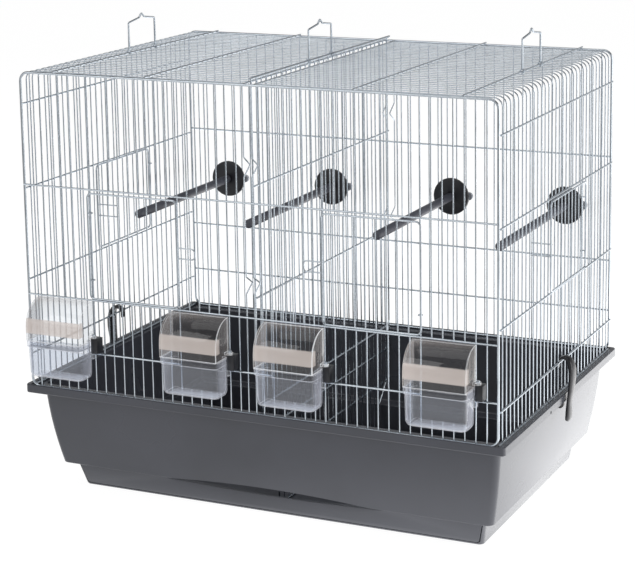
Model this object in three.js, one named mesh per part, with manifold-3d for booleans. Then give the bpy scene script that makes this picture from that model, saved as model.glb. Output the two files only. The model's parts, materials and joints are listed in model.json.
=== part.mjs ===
// Canary breeding cage: a wire cage on a deep plastic base, with outside feeders and a centre grille.
// Millimetres. Front is -Y, +X is right, +Z is up, and z = 0 is the underside of the base.
import * as THREE from "three";
import { mergeVertices } from "three/addons/utils/BufferGeometryUtils.js";
import Module from "manifold-3d";

const wasm = await Module();
wasm.setup();

// ---------------------------------------------------------------- driving dimensions
const GAP = 0.3; // between any two pieces that rest on each other
const WIRE = 0.8, CROSS = 1.1, FRAME = 1.5; // wire radii: upright, cross and frame wire

const HALF_W = 289.5, HALF_D = 196.8; // centre lines of the corner posts
const WIRE_LOW = 133, ROOF = 503.4; // centre lines of the lowest and the roof wire
const BEND = 10; // bend of the frames and of the side wires into the roof
const MID_X = 4.8, FIRST_X = 14.5, PITCH_X = 12.5; // the centre pair, the next wire, and the pitch
const PITCH_Y = 12.3;
const CROSS_OUT = 2.0; // a cross wire lies this far outside the uprights
const FRONT_CROSS = [181.4, 244.3, 373.5]; // heights of the front and back cross wires
const SIDE_CROSS = [170.7, 259.9, 367.7, 466.2];
const KINKS = [[271, 290], [402, 424]], KINK_DEEP = 15; // V bends in the centre pair that guide the divider

const DOOR_OUT = 3.3, DOOR_CORNER = 5;
const FRONT_DOOR = { low: 247, high: 369.5, latch: [304, 316], rings: [21, 23.5] };
const DOOR_PAST = 1.8, DOOR_SHORT = 0.5; // how far a door's frame passes its hinge wire and its first wire
const SIDE_DOOR = { low: 262.6, high: 365, latch: [302, 316], rings: [19.4, 19] }; // rings: from both ends
const RING = 2.2, RING_WIRE = 0.7; // hinge rings round an upright
const LATCH_REACH = 22; // how far the front latch reaches past its door
const PRONG = 21.5, PRONG_IN = 4.5; // side latch prongs: how far in, and how far from the door's edge

const RIM = { out: 8.5, front: 4, low: 124.5, high: 134.5, round: 5 }; // out: past the corner posts
const LIP = 2.5, LEDGE = 131.4, WALL = 2.5;
// Rows of the tub and the housing: height, then how far its side, front and back are inside the corner posts.
const TUB_IN = [[31.5, 17.5, 28.3, 21.8], [75, 9.5, 19.8, 15.3], [129, 4, 13.8, 10.8]];
const HOUSING_IN = [[0, 36, 49.3, 36.8], [38, 28, 37.3, 38.3]];
const TUB_ROUND = 8, HOUSING_ROUND = 6, STEP_LOW = 35.5, STEP_TOP = 38.5;
const SLOT_TOP = 30, SLOT_ROUND = 5; // the drawer's slot
const ARCH = { half: 145, rise: 7.2 }; // the finger gap over it
const TRAY = { low: 2.9, floor: 5, top: 28.4, side: 24, lip: 8 }; // heights
Object.assign(TRAY, { back: 43.3, wall: 2, foot: 5, front: 11, play: 1.1, notch: 4 }); // lengths
const SCOOP = { half: 145, deep: 8, low: 7.5, lean: 4 };
const RIM_HOLE = { y: -49, z: 127.2, r: 1.8, deep: 6 };

const PERCH_Z = 310;
const PERCH = { r: 5.25, long: 238.8, stud: 3, end: 8, disc: 23.5, discThick: 5 };
const NUT = { hub: 8, wing: 26, wingTall: 10 };

const FEEDER = { wide: 71.5, deep: 30, low: 153.5, rim: 197.2, band: 6.5, top: 243.2, wall: 1.5, back: 180 };
const HINGE = { out: 5, low: 185, high: 202, pin: 1.2, bore: 1.55, reach: 3.5 };
const CUT_LOW = 153; // the uprights behind a feeder stop here

const DIVIDER = { rail: 509, short: 3.3, edge: 11.8, gaps: 30 };
const DIVIDER_CROSS = [66, 108, 138, 264, 390];
const SLOT = 7; // half width between the two wires that the divider drops through
const BAIL = { wire: 1.2, wide: 61.6, rise: 36, gable: 39.5, peak: 44.5, nose: 0.1, ring: 0.8 };
const ROOF_CROSS = 2.6; // roof cross wires lie this far above the roof wires
const CROSS_X = { left: [126, HALF_W - 43.5], right: [127, HALF_W - 38.5] };
const BAIL_FEET = { left: [-CROSS_X.left[1], -27.6], middle: [0, -39.4], right: [CROSS_X.right[1], -16] };

const CLIP = { wide: 9.5, thick: 2, bodyWide: 14, bodyThick: 3.2 };

// ---------------------------------------------------------------- materials
const plain = (color, roughness, metalness = 0, more = {}) =>
  new THREE.MeshStandardMaterial({ color, roughness, metalness, ...more });
const zinc = plain(0xc9ccd2, 0.3, 1);
const grey = plain(0x5a5d67, 0.4);
const black = plain(0x1b1b1e, 0.45);
const perchGrey = plain(0x3b3c42, 0.5);
const paleGrey = plain(0xb9bcc2, 0.45);
const clear = plain(0xe8ecef, 0.08, 0, { transparent: true, opacity: 0.35 });

// ---------------------------------------------------------------- helpers
const root = new THREE.Group();
root.name = "canary_breeding_cage";

// A three.js geometry as a manifold solid, turned (radians) and then moved.
function solid(geometry, at = [0, 0, 0], turn = [0, 0, 0]) {
  const g = geometry.clone();
  g.deleteAttribute("normal");
  g.deleteAttribute("uv");
  const place = new THREE.Quaternion().setFromEuler(new THREE.Euler(...turn));
  const one = new THREE.Vector3(1, 1, 1);
  g.applyMatrix4(new THREE.Matrix4().compose(new THREE.Vector3(...at), place, one));
  const m = mergeVertices(g, 1e-4);
  const vertProperties = m.attributes.position.array, triVerts = new Uint32Array(m.index.array);
  return new wasm.Manifold(new wasm.Mesh({ numProp: 3, vertProperties, triVerts }));
}
const join = (pieces) => wasm.Manifold.union(pieces);

function add(name, made, material) {
  const m = made.getMesh();
  const g = new THREE.BufferGeometry()
    .setAttribute("position", new THREE.BufferAttribute(new Float32Array(m.vertProperties), 3))
    .setIndex(new THREE.BufferAttribute(new Uint32Array(m.triVerts), 1));
  g.computeVertexNormals();
  const mesh = new THREE.Mesh(g, material);
  mesh.name = name;
  root.add(mesh);
}

// A path that an extrusion follows through its own points, with no rounding in between.
class Path extends THREE.Curve {
  constructor(points) {
    super();
    this.points = points.map((p) => new THREE.Vector3(...p));
  }
  getPoint(t, out = new THREE.Vector3()) {
    const n = this.points.length - 1, i = Math.min(Math.floor(t * n + 1e-6), n - 1);
    return out.lerpVectors(this.points[i], this.points[i + 1], t * n - i);
  }
  getPointAt(u, out) {
    return this.getPoint(u, out);
  }
  getTangentAt(u, out = new THREE.Vector3()) {
    const n = this.points.length - 1, i = Math.round(u * n), p = this.points;
    const into = p[Math.max(i, 1)].clone().sub(p[Math.max(i, 1) - 1]).normalize();
    const away = p[Math.min(i, n - 1) + 1].clone().sub(p[Math.min(i, n - 1)]).normalize();
    return out.addVectors(into, away).normalize();
  }
}

// The points of a bent wire: each inner corner becomes an arc.
function bent(points, radius, steps = 3) {
  const v = points.map((p) => new THREE.Vector3(...p)), out = [points[0]];
  for (let i = 1; i < v.length - 1; i++) {
    const a = v[i - 1].clone().sub(v[i]).normalize(), b = v[i + 1].clone().sub(v[i]).normalize();
    const half = a.angleTo(b) / 2, cut = radius / Math.tan(half), turn = Math.PI - 2 * half;
    const centre = v[i].clone().addScaledVector(a.clone().add(b).normalize(), radius / Math.sin(half));
    const from = v[i].clone().addScaledVector(a, cut).sub(centre);
    const to = v[i].clone().addScaledVector(b, cut).sub(centre);
    for (let k = 0; k <= steps; k++) {
      const s = Math.sin((1 - k / steps) * turn) / Math.sin(turn);
      const e = Math.sin((k / steps) * turn) / Math.sin(turn);
      out.push(centre.clone().addScaledVector(from, s).addScaledVector(to, e).toArray());
    }
  }
  out.push(points[points.length - 1]);
  return out;
}

// A wire of the same area as a round one, with few sides because the cage has hundreds of them.
function wire(points, r, sides = 4, closed = false) {
  const across = r * Math.sqrt((2 * Math.PI) / (sides * Math.sin((2 * Math.PI) / sides)));
  const section = new THREE.Shape();
  for (let k = 0; k < sides; k++) {
    const a = ((k + 0.5) / sides) * 2 * Math.PI;
    const at = [across * Math.cos(a), across * Math.sin(a)];
    k ? section.lineTo(...at) : section.moveTo(...at);
  }
  const along = { steps: points.length - 1, extrudePath: new Path(points), bevelEnabled: false };
  const g = new THREE.ExtrudeGeometry(section, along);
  if (!closed) return solid(g);
  // A closed wire starts and ends in the middle of a straight run, and leaves its two end caps out.
  const side = g.groups.find((group) => group.materialIndex === 1), from = side.start * 3;
  const points3 = g.attributes.position.array.slice(from, from + side.count * 3);
  return solid(new THREE.BufferGeometry().setAttribute("position", new THREE.BufferAttribute(points3, 3)));
}

const box = (x0, x1, y0, y1, z0, z1) =>
  solid(new THREE.BoxGeometry(x1 - x0, y1 - y0, z1 - z0), [(x0 + x1) / 2, (y0 + y1) / 2, (z0 + z1) / 2]);
const post = (x, y, z0, z1, r, sides = 12) =>
  solid(new THREE.CylinderGeometry(r, r, z1 - z0, sides), [x, y, (z0 + z1) / 2], [Math.PI / 2, 0, 0]);
const rod = (x, z, y0, y1, r, sides = 16) =>
  solid(new THREE.CylinderGeometry(r, r, y1 - y0, sides), [x, (y0 + y1) / 2, z]);
const lying = (y, z, x0, x1, r, sides = 12) =>
  solid(new THREE.CylinderGeometry(r, r, x1 - x0, sides), [(x0 + x1) / 2, y, z], [0, 0, Math.PI / 2]);

// A rounded box whose half width and two depths change with height: rows are [z, half x, front y, back y].
function loft(rows, round, mid = 0, arc = 4) {
  const R = 100, s = new THREE.Shape();
  for (const [cx, cy, start] of [[1, 1, 0], [-1, 1, 1], [-1, -1, 2], [1, -1, 3]])
    for (let k = 0; k <= arc; k++) {
      const a = (start + k / arc) * (Math.PI / 2);
      const at = [cx * (R - round) + round * Math.cos(a), cy * (R - round) + round * Math.sin(a)];
      start + k ? s.lineTo(...at) : s.moveTo(...at);
    }
  const steps = rows.length - 1;
  const g = new THREE.ExtrudeGeometry(s, { steps, depth: steps, bevelEnabled: false });
  const p = g.attributes.position;
  for (let i = 0; i < p.count; i++) {
    const [z, hx, y0, y1] = rows[Math.round(p.getZ(i))];
    const x = p.getX(i), y = p.getY(i);
    p.setXYZ(i, mid + (x < 0 ? x + R - hx : x - R + hx), y < 0 ? y + R + y0 : y - R + y1, z);
  }
  return solid(g);
}
const inset = (rows, by) => rows.map(([z, hx, y0, y1]) => [z, hx - by, y0 + by, y1 - by]);
function rowAt(rows, z) {
  const k = Math.max(0, Math.min(rows.length - 2, rows.findIndex((r) => r[0] >= z) - 1));
  const t = (z - rows[k][0]) / (rows[k + 1][0] - rows[k][0]);
  return rows[k].map((v, i) => (i ? v + (rows[k + 1][i] - v) * t : z));
}

// A flat shape in the plane of two axes, given as points and extruded along the third.
function plate(points, from, to, turn) {
  const s = new THREE.Shape(points.map((p) => new THREE.Vector2(...p)));
  const g = new THREE.ExtrudeGeometry(s, { depth: to - from, bevelEnabled: false });
  g.translate(0, 0, from);
  return solid(g, [0, 0, 0], turn);
}
const alongY = [Math.PI / 2, 0, 0]; // points are (x, z); from and to are -y
const alongX = [Math.PI / 2, Math.PI / 2, 0]; // points are (y, z); from and to are x

// ---------------------------------------------------------------- wire positions
const upright = (k) => FIRST_X + PITCH_X * k;
const sideUpright = (j) => -HALF_D + PITCH_Y * j;
const LAST_K = Math.round((HALF_W - FIRST_X) / PITCH_X); // the frame stands in place of this wire
const SIDE_WIRES = Math.round((2 * HALF_D) / PITCH_Y) - 1;
const OUTER = [LAST_K - 7, LAST_K - 2], INNER = [1, 6]; // wires beside an outer and an inner feeder
const SIDE_GAP = [13, 23]; // wires on both sides of a side door
const onFront = (u, z, n = 0) => [u, -HALF_D - n, z];
const onBack = (u, z, n = 0) => [u, HALF_D + n, z];
const onRight = (u, z, n = 0) => [HALF_W + n, u, z];
const onLeft = (u, z, n = 0) => [-HALF_W - n, u, z];

// ---------------------------------------------------------------- front and back panels
function panel(on, cutFor) {
  const pieces = [];
  const top = ROOF, low = WIRE_LOW;
  const corners = [[0, low], [HALF_W, low], [HALF_W, top], [-HALF_W, top], [-HALF_W, low], [0, low]];
  pieces.push(wire(bent(corners.map(([x, z]) => on(x, z)), BEND, 4), FRAME, 4, true));
  for (const s of [-1, 1]) {
    const kinked = [on(MID_X * s, low)];
    for (const [a, b] of KINKS)
      kinked.push(on(MID_X * s, a), on(MID_X * s, (a + b) / 2, -KINK_DEEP), on(MID_X * s, b));
    pieces.push(wire([...kinked, on(MID_X * s, top)], WIRE));
    for (let k = 0; k < LAST_K; k++) {
      const x = upright(k) * s;
      for (const [from, to] of cutFor(k)) pieces.push(wire([on(x, from), on(x, to)], WIRE));
    }
  }
  return pieces;
}
const cross = (on, u0, u1, z) => wire([on(u0, z, CROSS_OUT), on(u1, z, CROSS_OUT)], CROSS);
const weld = (on, u, z) => wire([on(u, z), on(u, z, CROSS_OUT)], WIRE * 0.8);

const between = (k, [a, b]) => k > a && k < b;
const behindFeeder = (k) => between(k, INNER) || between(k, OUTER);
const behindDoor = (k) => between(k, [INNER[1], OUTER[0]]);
const [H4, H3, H2] = FRONT_CROSS;
const front = panel(onFront, (k) =>
  behindFeeder(k) ? [[WIRE_LOW, CUT_LOW], [H3 - 2, ROOF]]
    : behindDoor(k) ? [[WIRE_LOW, H3 + 2], [H2 - 2, ROOF]]
      : [[WIRE_LOW, ROOF]]);
for (const z of [H3, H2]) front.push(cross(onFront, -HALF_W, HALF_W, z));
for (const s of [-1, 1]) {
  for (const [a, b] of [[INNER[1], OUTER[0]], [OUTER[1], LAST_K]]) {
    const x0 = upright(a) * s, x1 = (b < LAST_K ? upright(b) : HALF_W) * s;
    front.push(cross(onFront, Math.min(x0, x1), Math.max(x0, x1), H4));
    front.push(weld(onFront, x0, H4), ...(b < LAST_K ? [weld(onFront, x1, H4)] : []));
  }
  front.push(weld(onFront, upright(INNER[0]) * s, H4));
}
front.push(cross(onFront, -upright(INNER[0]), upright(INNER[0]), H4));
add("front_panel", join(front), zinc);

const back = panel(onBack, () => [[WIRE_LOW, ROOF]]);
for (const z of FRONT_CROSS) back.push(cross(onBack, -HALF_W, HALF_W, z));
add("back_panel", join(back), zinc);

// ---------------------------------------------------------------- sides: the uprights bend over at the top
const END_Y = HALF_D - FRAME - GAP; // side and roof wires stop short of the frames
function sideMesh(on, s) {
  const pieces = [wire([on(-END_Y, WIRE_LOW), on(END_Y, WIRE_LOW)], FRAME)];
  const [, s3, s2] = SIDE_CROSS;
  for (const z of SIDE_CROSS) {
    pieces.push(cross(on, -END_Y, END_Y, z));
    for (const j of [1, ...SIDE_GAP, SIDE_WIRES]) pieces.push(weld(on, sideUpright(j), z));
  }
  for (let j = 1; j <= SIDE_WIRES; j++) {
    const y = sideUpright(j);
    const end = [(HALF_W - BEND - 0.4) * s, y, ROOF];
    const over = bent([[HALF_W * s, y, s2 - 2], [HALF_W * s, y, ROOF], end], BEND - 0.1, 4);
    if (between(j, SIDE_GAP)) {
      pieces.push(wire([on(y, WIRE_LOW), on(y, s3 + 2)], WIRE), wire(over, WIRE), weld(on, y, s2));
    } else pieces.push(wire([on(y, WIRE_LOW), ...over], WIRE));
  }
  return join(pieces);
}
add("left_side_mesh", sideMesh(onLeft, -1), zinc);
add("right_side_mesh", sideMesh(onRight, 1), zinc);

// ---------------------------------------------------------------- roof halves, with a slot between them
const CROSS_Z = ROOF + ROOF_CROSS;
function roofMesh(s, overhang) {
  const pieces = [wire([[SLOT * s, -END_Y, ROOF], [SLOT * s, END_Y, ROOF]], CROSS)];
  for (let j = 1; j <= SIDE_WIRES; j++) {
    const y = sideUpright(j);
    pieces.push(wire([[SLOT * s, y, ROOF], [(HALF_W - BEND - 0.8) * s, y, ROOF]], WIRE));
  }
  for (const x of s < 0 ? CROSS_X.left : CROSS_X.right) {
    pieces.push(wire([[x * s, -HALF_D - 1, CROSS_Z], [x * s, HALF_D + overhang, CROSS_Z]], CROSS));
    for (const j of [1, 16, SIDE_WIRES]) {
      const y = sideUpright(j);
      pieces.push(wire([[x * s, y, ROOF], [x * s, y, CROSS_Z]], WIRE * 0.8));
    }
  }
  return join(pieces);
}
add("roof_left_mesh", roofMesh(-1, 1), zinc);
add("roof_right_mesh", roofMesh(1, 4), zinc);

// ---------------------------------------------------------------- doors on ring hinges
// A door's wires continue the ones cut away behind it; at is where they and the two next ones stand.
function door(on, s, d, at, near, latch) {
  const u0 = near * s, u1 = (at[at.length - 1] + DOOR_PAST) * s, mid = (u0 + u1) / 2, pieces = [];
  const corners = [[mid, d.low], [u1, d.low], [u1, d.high], [u0, d.high], [u0, d.low], [mid, d.low]];
  pieces.push(wire(bent(corners.map(([u, z]) => on(u, z, DOOR_OUT)), DOOR_CORNER), CROSS, 4, true));
  for (const u of at.slice(1, -1))
    pieces.push(wire([on(u * s, d.low, DOOR_OUT), on(u * s, d.high, DOOR_OUT)], WIRE));
  return join([...pieces, ...latch]);
}
function hingeRings(on, u, d) {
  const heights = [d.low + d.rings[0], d.high - d.rings[1]];
  return heights.map((z) => solid(new THREE.TorusGeometry(RING, RING_WIRE, 6, 12), on(u, z)));
}
const span = ([a, b]) => Array.from({ length: b - a + 1 }, (_, k) => a + k);
const frontDoorAt = span([INNER[1], OUTER[0]]).map(upright);
for (const [name, s] of [["front_door_left", -1], ["front_door_right", 1]]) {
  const [lo, hi] = FRONT_DOOR.latch, u = frontDoorAt[0] - DOOR_SHORT;
  const loop = bent([
    onFront(u * s, lo, DOOR_OUT), onFront((u - LATCH_REACH) * s, lo, DOOR_OUT),
    onFront((u - LATCH_REACH) * s, hi, DOOR_OUT), onFront(u * s, hi, DOOR_OUT),
  ], 4);
  const rings = hingeRings(onFront, upright(OUTER[0]) * s, FRONT_DOOR);
  add(name, door(onFront, s, FRONT_DOOR, frontDoorAt, u, [wire(loop, WIRE), ...rings]), zinc);
}
const sideDoorAt = span(SIDE_GAP).map(sideUpright);
for (const [name, on] of [["side_door_left", onLeft], ["side_door_right", onRight]]) {
  const u = sideDoorAt[0], prongs = SIDE_DOOR.latch.map((z) => wire(bent([
    on(u, z, DOOR_OUT), on(u + PRONG_IN, z, DOOR_OUT), on(u + PRONG_IN, z, -PRONG),
  ], 1.5), WIRE));
  const rings = hingeRings(on, sideUpright(SIDE_GAP[1]), SIDE_DOOR);
  add(name, door(on, 1, SIDE_DOOR, sideDoorAt, u, [...prongs, ...rings]), zinc);
}

// ---------------------------------------------------------------- divider grille
const floorWire = TRAY.floor + GAP + CROSS;
const frontEdge = [[DIVIDER.edge, 150], [21.8, 133], [23.8, 120], [31.8, 62], [60.8, 32], [60.8, floorWire]]
  .map(([inside, z]) => [inside - HALF_D, z]);
const backEdge = [[DIVIDER.edge, 143], [15.8, 131], [17.3, 120], [22.8, 65], [44.8, 41], [48.8, floorWire]]
  .map(([inside, z]) => [HALF_D - inside, z]);
const edgePath = (edge) => [
  [edge[0][0], DIVIDER.rail], ...edge, [0.2 * Math.sign(-edge[0][0]), floorWire],
].map(([y, z]) => [0, y, z]);
function edgeAt(edge, z) {
  if (z >= edge[0][1]) return edge[0][0];
  const i = edge.findIndex(([, h]) => h < z), [y1, z1] = edge[i - 1], [y2, z2] = edge[i];
  return y1 + ((y2 - y1) * (z - z1)) / (z2 - z1);
}
function footAt(y) { // the height where a divider upright meets the wire round the edge
  const edge = y < 0 ? frontEdge : backEdge;
  for (let i = 0; i < edge.length - 1; i++) {
    const [y1, z1] = edge[i], [y2, z2] = edge[i + 1];
    if (Math.abs(y) <= Math.abs(y1) && Math.abs(y) >= Math.abs(y2) && y1 !== y2)
      return z1 + ((z2 - z1) * (y - y1)) / (y2 - y1);
  }
  return floorWire;
}
const edgeY = HALF_D - DIVIDER.edge;
const divider = [
  wire([[0, -edgeY - 1, DIVIDER.rail], [0, HALF_D - DIVIDER.short, DIVIDER.rail]], FRAME),
  wire(edgePath(frontEdge), CROSS), wire(edgePath(backEdge), CROSS),
];
for (let i = 1; i < DIVIDER.gaps; i++) {
  const y = edgeY * ((2 * i) / DIVIDER.gaps - 1);
  divider.push(wire([[0, y, footAt(y)], [0, y, DIVIDER.rail]], WIRE));
}
for (const z of DIVIDER_CROSS) {
  const y0 = edgeAt(frontEdge, z), y1 = edgeAt(backEdge, z);
  divider.push(wire([[CROSS_OUT, y0, z], [CROSS_OUT, y1, z]], CROSS));
  for (const y of [y0, y1]) divider.push(wire([[0, y, z], [CROSS_OUT, y, z]], WIRE * 0.8));
}
add("divider_grille", join(divider), zinc);

// ---------------------------------------------------------------- bails: rings and a house-shaped loop
for (const [name, [x, y]] of Object.entries(BAIL_FEET)) {
  const middle = name === "middle", z = middle ? DIVIDER.rail : CROSS_Z;
  const ring = (middle ? FRAME : CROSS) + 0.6 + BAIL.ring, y2 = y + BAIL.wide;
  const feet = [y, y2].map((at) =>
    solid(new THREE.TorusGeometry(ring, BAIL.ring, 6, 12), [x, at, z], [Math.PI / 2, 0, 0]));
  // The top rises a little towards a small nose in the middle, where a finger or a hook holds it.
  const half = [[0, ring], [0, BAIL.rise], [0.5 - BAIL.nose, BAIL.gable]];
  const across = [...half, [0.5, BAIL.peak], ...half.map(([u, up]) => [1 - u, up]).reverse()];
  const loop = bent(across.map(([u, up]) => [x, y + u * BAIL.wide, z + up]), 2);
  add("bail_" + name, join([...feet, wire(loop, BAIL.wire, 6)]), zinc);
}

// ---------------------------------------------------------------- base
const within = ([z, side, front, back]) => [z, HALF_W - side, front - HALF_D, HALF_D - back];
const TUB = TUB_IN.map(within), HOUSING = HOUSING_IN.map(within);
const housingIn = inset(HOUSING, WALL);
const rimY = HALF_D + RIM.front;
const rimRow = (z, byX = 0, byY = byX) => [z, HALF_W + RIM.out - byX, byY - rimY, rimY - byY];
const [SEAT_X, SEAT_Y] = [6.5, 2.4]; // the wire's seat starts this far in from the rim's outside
const rim = loft([rimRow(RIM.low), rimRow(RIM.high)], RIM.round)
  .subtract(loft([rimRow(LEDGE, SEAT_X, SEAT_Y), rimRow(RIM.high + 5, SEAT_X, SEAT_Y)], 1))
  .subtract(loft([rimRow(RIM.low - 5, LIP), rimRow(LEDGE - WALL, LIP)], RIM.round - LIP));
const skirtIn = inset([TUB[0], rowAt(TUB, STEP_LOW)], WALL);
skirtIn[0][0] -= 5;
let shell = join([rim, loft(TUB, TUB_ROUND)]).subtract(loft(skirtIn, TUB_ROUND - WALL));
shell = join([shell, loft([HOUSING[0], rowAt(HOUSING, STEP_LOW + 1)], HOUSING_ROUND)]);
const tubIn = inset([rowAt(TUB, STEP_TOP), TUB[1], TUB[2], rowAt(TUB, 128.9)], WALL).slice(0, 3);
tubIn[2] = [140, tubIn[2][1], tubIn[2][2], tubIn[2][3]];
shell = shell.subtract(loft(tubIn, TUB_ROUND - WALL));
shell = shell.subtract(loft([rowAt(housingIn, WALL), rowAt(housingIn, STEP_TOP + 1)], HOUSING_ROUND - WALL));
// The slot goes out through the front wall with the same taper, so that the drawer slides through it.
const slotHalf = (z) => rowAt(housingIn, z)[1];
const tubFront = -TUB[0][2], slotBack = tubFront - 36;
// A section of the drawer's width between two heights, with its lower corners rounded.
function roundFoot(halfAt, z0, z1, r) {
  const corner = [0, 1, 2, 3, 4].map((k) => (k / 4) * (Math.PI / 2));
  const foot = corner.map((a) => [halfAt(z0) - r * (1 - Math.sin(a)), z0 + r * (1 - Math.cos(a))]);
  const side = [...foot, [halfAt(z1), z1]];
  return [...side, ...side.map(([x, z]) => [-x, z]).reverse()];
}
const slot = roundFoot(slotHalf, WALL, SLOT_TOP, SLOT_ROUND);
shell = shell.subtract(plate(slot, slotBack, tubFront + 10, alongY));
const archRadius = (ARCH.half ** 2 + ARCH.rise ** 2) / (2 * ARCH.rise);
const arch = [[-ARCH.half, SLOT_TOP - 5], [ARCH.half, SLOT_TOP - 5]];
for (let k = 0; k <= 16; k++) {
  const x = ARCH.half * (1 - k / 8);
  arch.push([x, SLOT_TOP + ARCH.rise - archRadius + Math.sqrt(archRadius ** 2 - x ** 2)]);
}
shell = shell.subtract(plate(arch, slotBack, tubFront + 10, alongY));
const rimX = HALF_W + RIM.out;
shell = shell.subtract(lying(RIM_HOLE.y, RIM_HOLE.z, rimX - RIM_HOLE.deep, rimX + 1, RIM_HOLE.r));
add("base_shell", shell, grey);

// ---------------------------------------------------------------- drawer
const face = (z) => rowAt(HOUSING, z)[2]; // the drawer's front is flush with the housing's front
const trayHalf = (z) => slotHalf(z) - TRAY.play, trayBack = HALF_D - TRAY.back;
const frontIn = face(TRAY.top) + TRAY.front, floorHalf = trayHalf(TRAY.low) - TRAY.foot;
const ends = [TRAY.low, TRAY.top];
const frontSection = [...ends.map((z) => [frontIn, z]), ...ends.map((z) => [face(z), z]).reverse()];
const frontShape = roundFoot(trayHalf, ...ends, SLOT_ROUND - 0.5);
let trayFront = plate(frontSection, -HALF_W, HALF_W, alongX)
  .intersect(plate(frontShape, -frontIn - 1, -face(TRAY.top) + 1, alongY));
const scoopRadius = (SCOOP.half ** 2 + SCOOP.deep ** 2) / (2 * SCOOP.deep), scoopEnd = SCOOP.half + 15;
const scoop = [[-scoopEnd, -40], [scoopEnd, -40]];
for (let k = 0; k <= 16; k++) {
  const x = scoopEnd * (1 - k / 8);
  scoop.push([x, -scoopRadius + Math.sqrt(scoopRadius ** 2 - x ** 2)]);
}
const scoopShape = new THREE.Shape(scoop.map((p) => new THREE.Vector2(...p)));
const scoopCut = new THREE.ExtrudeGeometry(scoopShape, { depth: 50, bevelEnabled: false });
scoopCut.translate(0, 0, -12);
const lean = (-SCOOP.lean * Math.PI) / 180;
trayFront = trayFront.subtract(solid(scoopCut, [0, face(SCOOP.low), SCOOP.low], [lean, 0, 0]));
add("tray_front", trayFront, grey);
add("tray_floor", box(-floorHalf, floorHalf, frontIn + GAP, trayBack, TRAY.low, TRAY.floor), grey);
// Two side walls and a low lip hold the litter; the lip's notch lets the divider by as the tray slides.
for (const [name, s] of [["left", -1], ["right", 1]]) {
  const foot = floorHalf + GAP, top = trayHalf(TRAY.side);
  const rounded = frontShape.slice(0, 5); // the same round lower corner as the front
  const wall = [
    [foot, TRAY.low], ...rounded, [top, TRAY.side], [top - TRAY.wall, TRAY.side], [foot, TRAY.floor],
  ].map(([x, z]) => [x * s, z]);
  add("tray_side_" + name, plate(s > 0 ? wall : wall.reverse(), -trayBack, -frontIn - GAP, alongY), grey);
  const [x0, x1] = [TRAY.notch * s, floorHalf * s].sort((a, b) => a - b);
  add("tray_lip_" + name, box(x0, x1, trayBack - TRAY.wall, trayBack, TRAY.floor + GAP, TRAY.lip), grey);
}

// ---------------------------------------------------------------- perches
const middleOf = (k) => (upright(k) + upright(k + 1)) / 2; // a stud goes out between two uprights
const perchX = [middleOf(INNER[1] - 1), middleOf(OUTER[0] + 2)];
[-perchX[1], -perchX[0], ...perchX].forEach((x, i) => {
  const n = i + 1, discBack = HALF_D - WIRE - GAP, discFront = discBack - PERCH.discThick;
  const tip = HALF_D - PERCH.long, end = HALF_D + PERCH.end;
  const profile = [[0, tip], [3.6, tip], [PERCH.r, tip + 2], [PERCH.r, discFront - GAP],
    [PERCH.stud, discFront - GAP], [PERCH.stud, end], [0, end]];
  const turned = new THREE.LatheGeometry(profile.map((p) => new THREE.Vector2(...p)), 16);
  add("perch_rod_" + n, solid(turned, [x, 0, PERCH_Z]), perchGrey);
  const disc = [[PERCH.stud + GAP, discFront], [PERCH.disc - 1.2, discFront], [PERCH.disc, discFront + 1.2],
    [PERCH.disc, discBack], [PERCH.stud + GAP, discBack], [PERCH.stud + GAP, discFront]];
  const discTurned = new THREE.LatheGeometry(disc.map((p) => new THREE.Vector2(...p)), 28);
  add("perch_disc_" + n, solid(discTurned, [x, 0, PERCH_Z]), black);
  const nut0 = HALF_D + WIRE + GAP, wing = [];
  for (let k = 0; k <= 8; k++) {
    const a = -Math.PI / 2 + (k / 8) * Math.PI;
    wing.push([NUT.wing - 5 + 5 * Math.cos(a), (NUT.wingTall / 2) * Math.sin(a)]);
  }
  const wings = [...wing, [0, 3.4], ...wing.map(([u, v]) => [-u, -v]), [0, -3.4]];
  const nut = join([
    rod(x, PERCH_Z, nut0, nut0 + 7.4, NUT.hub),
    plate(wings.map(([u, v]) => [x + u, PERCH_Z + v]), -nut0 - 5.6, -nut0 - 1.6, alongY),
  ]).subtract(rod(x, PERCH_Z, nut0 - 1, nut0 + 9, PERCH.stud + GAP));
  add("perch_nut_" + n, nut, paleGrey);
});

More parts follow.
